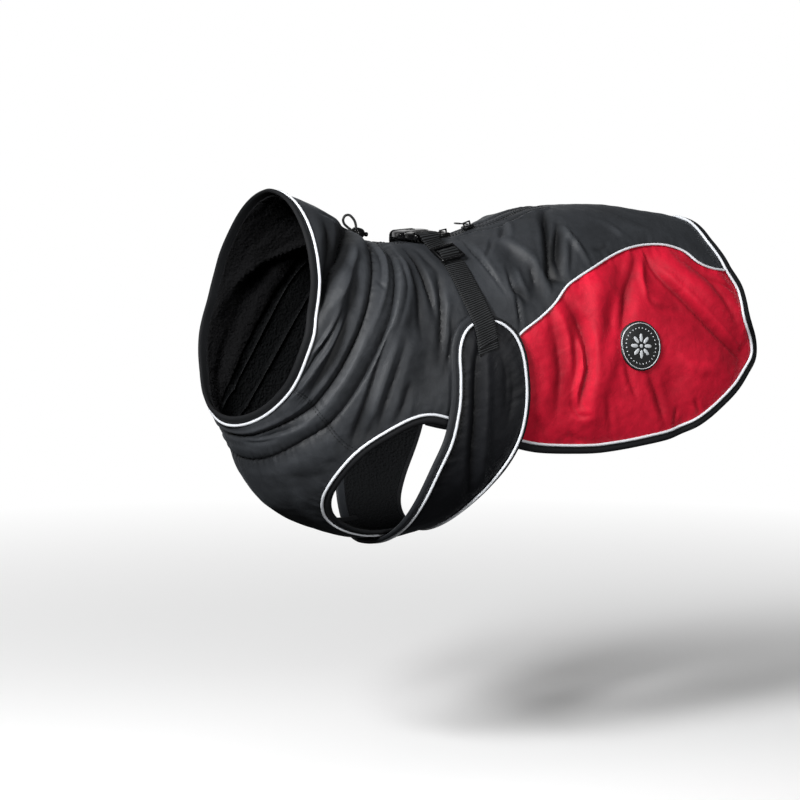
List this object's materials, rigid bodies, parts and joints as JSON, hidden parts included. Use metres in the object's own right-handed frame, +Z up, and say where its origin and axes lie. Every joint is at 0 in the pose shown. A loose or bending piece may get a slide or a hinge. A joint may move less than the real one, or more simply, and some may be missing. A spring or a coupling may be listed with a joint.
{
  "type": "dog coat",
  "caption": "Hollow, worn padded dog coat with a stand collar, red side panels, a belly band, a zipped back and a buckled webbing strap.",
  "frame": {"origin": "inner face of the back at the withers, on the spine, where the wearer holds the coat up", "axes": "+X towards the rump, +Y towards the coat's right flank, +Z up"},
  "size_m": [0.5191, 0.2012, 0.3198],
  "materials": {
    "charcoal_cloth": "matt padded softshell, close plain weave",
    "red_cloth": "satin padded softshell, close plain weave",
    "black_fleece": "long-napped fleece",
    "black_binding": "folded woven tape",
    "white_piping": "smooth reflective piping",
    "black_webbing": "ribbed woven webbing",
    "black_plastic": "glossy moulded",
    "black_zip": "woven tape with moulded teeth",
    "black_painted_metal": "satin black",
    "black_cord": "braided elastic cord",
    "patch": "smooth printed patch"
  },
  "bodies": {
    "coat": {"armhole_binding_left": "black_binding", "armhole_binding_right": "black_binding", "armhole_piping_left": "white_piping", "armhole_piping_right": "white_piping", "back_left": "charcoal_cloth", "back_right": "charcoal_cloth", "back_zip": "black_zip", "belly_band": "charcoal_cloth", "belly_band_front_binding_left": "black_binding", "belly_band_front_binding_right": "black_binding", "belly_band_front_piping_left": "white_piping", "belly_band_front_piping_right": "white_piping", "belly_band_rear_binding": "black_binding", "belly_band_rear_piping": "white_piping", "buckle_plug": "black_plastic", "buckle_socket": "black_plastic", "chest_bib": "charcoal_cloth", "collar_back": "charcoal_cloth", "collar_back_lining": "black_fleece", "collar_front": "charcoal_cloth", "collar_front_lining": "black_fleece", "cord_lock": "black_plastic", "drawcord_loop": "black_cord", "hem_binding": "black_binding", "hem_piping": "white_piping", "neck_band": "charcoal_cloth", "neck_binding": "black_binding", "neck_piping": "white_piping", "patch_left": "patch", "patch_right": "patch", "side_left": "red_cloth", "side_piping_left": "white_piping", "side_piping_right": "white_piping", "side_right": "red_cloth", "strap_end_left": "black_webbing", "strap_end_right": "black_webbing", "strap_left": "black_webbing", "strap_right": "black_webbing", "strap_slider": "black_plastic", "zip_slider_front": "black_painted_metal", "zip_slider_rear": "black_painted_metal"},
    "zip_pull_front": {"zip_pull_front": "black_painted_metal"},
    "zip_pull_rear": {"zip_pull_rear": "black_painted_metal"}
  },
  "joints": [
    {"name": "zip_pull_front_hinge", "type": "hinge", "parent": "coat", "child": "zip_pull_front", "pos_m": [0.04386, 0, 0.01004], "axis": [0, 1, 0], "range_deg": [-4, 160]},
    {"name": "zip_pull_rear_hinge", "type": "hinge", "parent": "coat", "child": "zip_pull_rear", "pos_m": [0.06825, 0, 0.01624], "axis": [0, 1, 0], "range_deg": [-20, 140]}
  ]
}
